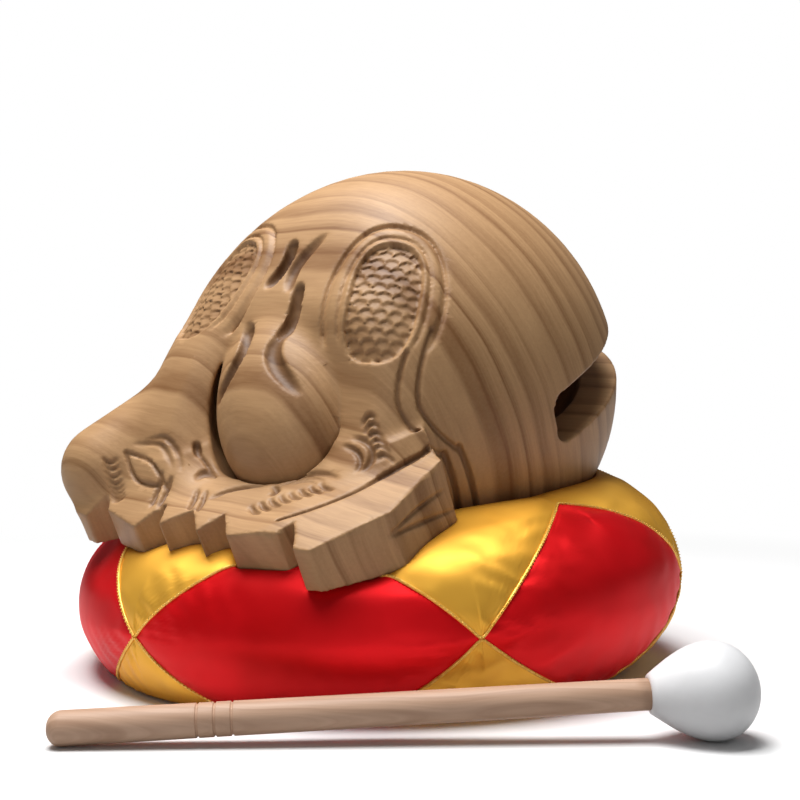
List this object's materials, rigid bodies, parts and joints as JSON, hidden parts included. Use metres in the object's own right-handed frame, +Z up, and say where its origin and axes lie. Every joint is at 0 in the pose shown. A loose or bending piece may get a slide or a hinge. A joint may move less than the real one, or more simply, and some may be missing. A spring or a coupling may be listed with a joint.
{
  "type": "wooden fish drum",
  "caption": "Hollow carved wooden fish drum with a sound slit, nested on a stuffed harlequin satin ring cushion, with a rubber-headed mallet beside it.",
  "frame": {"origin": "middle of the cushion's flat underside, on the surface that it stands on", "axes": "+Z up, -Y the front, where the mallet lies, +X to the right seen from the front; the fish's heads point to the front left"},
  "size_m": [0.2697, 0.2952, 0.2208],
  "materials": {
    "carved_wood": "oiled, hand carved",
    "red_satin": "satin sheen",
    "gold_satin": "satin sheen",
    "piping_cord": "stitched cord",
    "wadding": "loose fibre",
    "base_cotton": "plain weave",
    "turned_beech": "sanded",
    "white_rubber": "matt"
  },
  "bodies": {
    "cushion": {"red_panel_1": "red_satin", "red_panel_2": "red_satin", "red_panel_3": "red_satin", "red_panel_4": "red_satin", "red_panel_5": "red_satin", "red_panel_6": "red_satin", "gold_upper_panel_1": "gold_satin", "gold_upper_panel_2": "gold_satin", "gold_upper_panel_3": "gold_satin", "gold_upper_panel_4": "gold_satin", "gold_upper_panel_5": "gold_satin", "gold_upper_panel_6": "gold_satin", "gold_lower_panel_1": "gold_satin", "gold_lower_panel_2": "gold_satin", "gold_lower_panel_3": "gold_satin", "gold_lower_panel_4": "gold_satin", "gold_lower_panel_5": "gold_satin", "gold_lower_panel_6": "gold_satin", "hole_lining": "gold_satin", "piping_upper": "piping_cord", "piping_lower": "piping_cord", "cushion_stuffing": "wadding", "base_cloth": "base_cotton"},
    "fish": {"fish_body": "carved_wood"},
    "mallet": {"mallet_handle": "turned_beech", "mallet_head": "white_rubber"}
  },
  "joints": [
    {"name": "fish_lift", "type": "slide", "parent": "cushion", "child": "fish", "axis": [0, 0, 1], "range_m": [0, 0.12]},
    {"name": "mallet_lift", "type": "slide", "parent": "cushion", "child": "mallet", "axis": [0, 0, 1], "range_m": [0, 0.15]}
  ]
}
